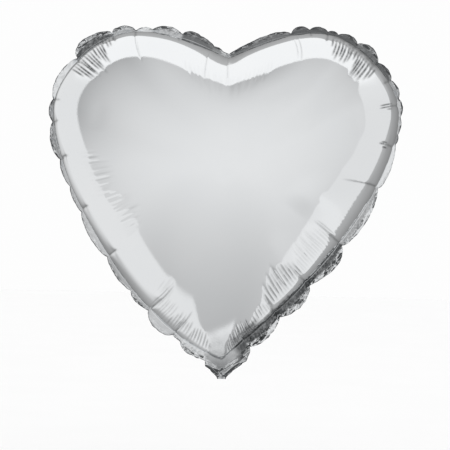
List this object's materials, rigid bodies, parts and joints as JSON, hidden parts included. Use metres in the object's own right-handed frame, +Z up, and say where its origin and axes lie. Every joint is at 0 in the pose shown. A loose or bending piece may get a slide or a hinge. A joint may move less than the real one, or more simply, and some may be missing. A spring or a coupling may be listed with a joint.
{
  "type": "heart-shaped foil balloon",
  "caption": "Inflated heart-shaped foil balloon: two welded metallised film panels with a scalloped flange, an inner self-sealing flat valve and a folding filling tail.",
  "frame": {"origin": "middle of the fold line where the filling tail leaves the heart's tip, in the plane of the seam", "axes": "+Z up from the tip to the lobes, -Y the front of the heart, +X to the right seen from the front"},
  "size_m": [0.4026, 0.17, 0.3982],
  "materials": {
    "foil": "bright silver vacuum-metallised plastic film",
    "valve_film": "clear glossy plastic film",
    "release_ink": "thin matt printed coating"
  },
  "bodies": {
    "balloon": {"front_panel": "foil", "back_panel": "foil", "valve_front_film": "valve_film", "valve_back_film": "valve_film", "valve_release_coating": "release_ink"},
    "tail": {"tail_front_ply": "foil", "tail_back_ply": "foil", "tail_valve_front_film": "valve_film", "tail_valve_back_film": "valve_film", "tail_release_coating": "release_ink"}
  },
  "joints": [
    {"name": "tail_fold", "type": "hinge", "parent": "balloon", "child": "tail", "pos_m": [0, 0, 0], "axis": [-1, 0, 0], "range_deg": [0, 145]}
  ]
}
